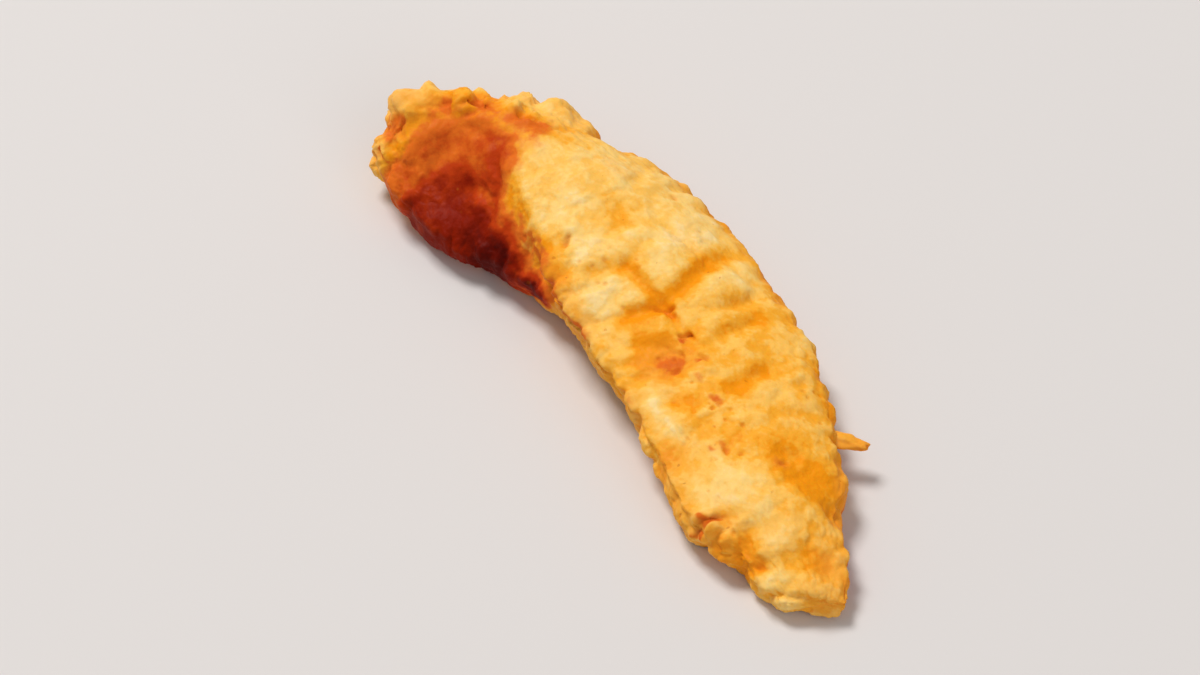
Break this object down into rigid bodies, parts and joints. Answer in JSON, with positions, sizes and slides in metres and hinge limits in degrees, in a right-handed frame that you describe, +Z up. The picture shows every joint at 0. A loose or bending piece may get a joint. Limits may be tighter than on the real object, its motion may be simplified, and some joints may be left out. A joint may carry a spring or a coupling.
{
  "type": "chicken tender",
  "caption": "Crescent-shaped strip of chicken in puffed, deep-fried golden batter, thick and craggy at one end and thin and ragged at the other, lying flat.",
  "frame": {"origin": "on the surface that it lies on, under the middle of its outline", "axes": "+X along its length, from the thick blunt end to the thin ragged tip; +Y towards the bulging outer side; +Z up"},
  "size_m": [0.1452, 0.0506, 0.0238],
  "materials": {
    "fried_batter": "crisp fried batter, pale gold with orange creases, slightly oily"
  },
  "bodies": {
    "root": {"tender": "fried_batter"}
  },
  "joints": []
}
